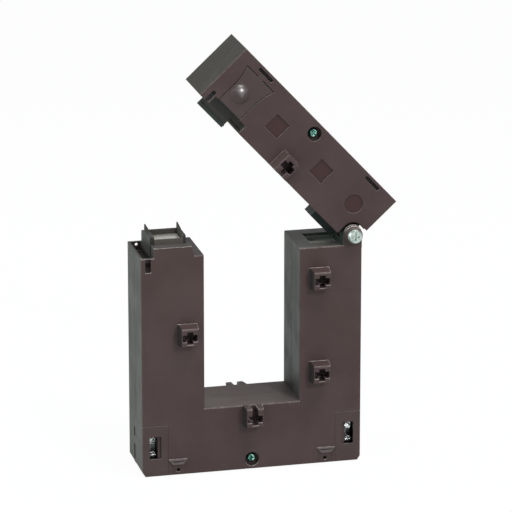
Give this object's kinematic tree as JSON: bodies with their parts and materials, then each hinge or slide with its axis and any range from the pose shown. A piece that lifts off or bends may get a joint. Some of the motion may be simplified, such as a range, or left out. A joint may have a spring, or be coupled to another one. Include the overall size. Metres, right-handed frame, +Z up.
{
  "type": "split-core current transformer",
  "caption": "U-shaped moulded current transformer whose hinged yoke bar stands open, with a latch, insert sockets and clamped terminals.",
  "frame": {"origin": "middle of the flat bottom face of the base", "axes": "+Z up along the legs, +X towards the hinge side, +Y towards the back"},
  "size_m": [0.213, 0.0776, 0.3556],
  "materials": {
    "housing_plastic": "dark brown moulded plastic with a fine satin texture",
    "cover_plastic": "dark brown moulded plastic, satin",
    "latch_plastic": "dark brown moulded plastic, satin",
    "core_steel": "silicon steel strip, cut faces ground bright",
    "screw_zinc": "zinc plated steel, bluish passivated",
    "clamp_metal": "tin plated terminal metal",
    "spring_steel": "spring steel strip",
    "bobbin_plastic": "natural moulded former",
    "winding_copper": "enamelled copper wire layers"
  },
  "bodies": {
    "base": {"base_front_shell": "housing_plastic", "base_back_shell": "housing_plastic", "u_core": "core_steel", "series_lead": "winding_copper", "hinge_nut": "screw_zinc", "left_bobbin": "bobbin_plastic", "left_winding": "winding_copper", "left_lead": "winding_copper", "left_terminal_clamp": "clamp_metal", "left_terminal_screws": "screw_zinc", "left_terminal_cover": "cover_plastic", "right_bobbin": "bobbin_plastic", "right_winding": "winding_copper", "right_lead": "winding_copper", "right_terminal_clamp": "clamp_metal", "right_terminal_screws": "screw_zinc", "right_terminal_cover": "cover_plastic", "base_screw": "screw_zinc", "hinge_screw": "screw_zinc"},
    "yoke": {"yoke_front_shell": "housing_plastic", "yoke_back_shell": "housing_plastic", "yoke_core": "core_steel", "core_leaf_springs": "spring_steel", "yoke_screw": "screw_zinc"},
    "latch": {"latch_tongue": "latch_plastic"}
  },
  "joints": [
    {"name": "bar_hinge", "type": "hinge", "parent": "base", "child": "yoke", "pos_m": [0.0842, 0, 0.1958], "axis": [0, 1, 0], "range_deg": [-47.1, 52]},
    {"name": "latch_hinge", "type": "hinge", "parent": "yoke", "child": "latch", "pos_m": [0.00779, -0.02565, 0.3312], "axis": [0.6807, 0, -0.7325], "range_deg": [0, 2], "stiffness_Nm_per_rad": 6}
  ]
}
